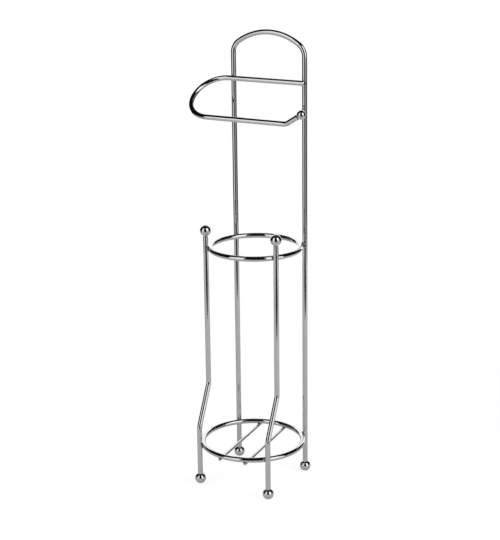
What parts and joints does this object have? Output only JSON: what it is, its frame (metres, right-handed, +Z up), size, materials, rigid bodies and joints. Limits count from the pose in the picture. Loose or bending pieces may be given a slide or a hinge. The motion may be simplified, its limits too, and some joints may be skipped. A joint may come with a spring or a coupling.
{
  "type": "toilet roll storage holder",
  "caption": "Free-standing wire holder for toilet rolls: an open arm under a rounded back hoop carries the roll in use, and rings on ball feet hold a stack of spare rolls.",
  "frame": {"origin": "on the floor, at the middle of the holder's own box seen from above", "axes": "+X towards the arm's open tip, which is the holder's right side seen from the front; +Y to the rear, where the tall hoop stands; +Z up"},
  "size_m": [0.186, 0.1485, 0.609],
  "materials": {
    "chrome_wire": "polished chrome plate on drawn steel wire",
    "chrome_ball": "polished chrome plate on turned steel balls"
  },
  "bodies": {
    "root": {"back_hoop": "chrome_wire", "roll_arm": "chrome_wire", "upper_ring": "chrome_wire", "lower_ring": "chrome_wire", "rest_wire_left": "chrome_wire", "rest_wire_right": "chrome_wire", "front_leg_left": "chrome_wire", "front_leg_right": "chrome_wire", "arm_ball": "chrome_ball", "finial_left": "chrome_ball", "finial_right": "chrome_ball", "foot_front_left": "chrome_ball", "foot_front_right": "chrome_ball", "foot_rear_left": "chrome_ball", "foot_rear_right": "chrome_ball"}
  },
  "joints": []
}
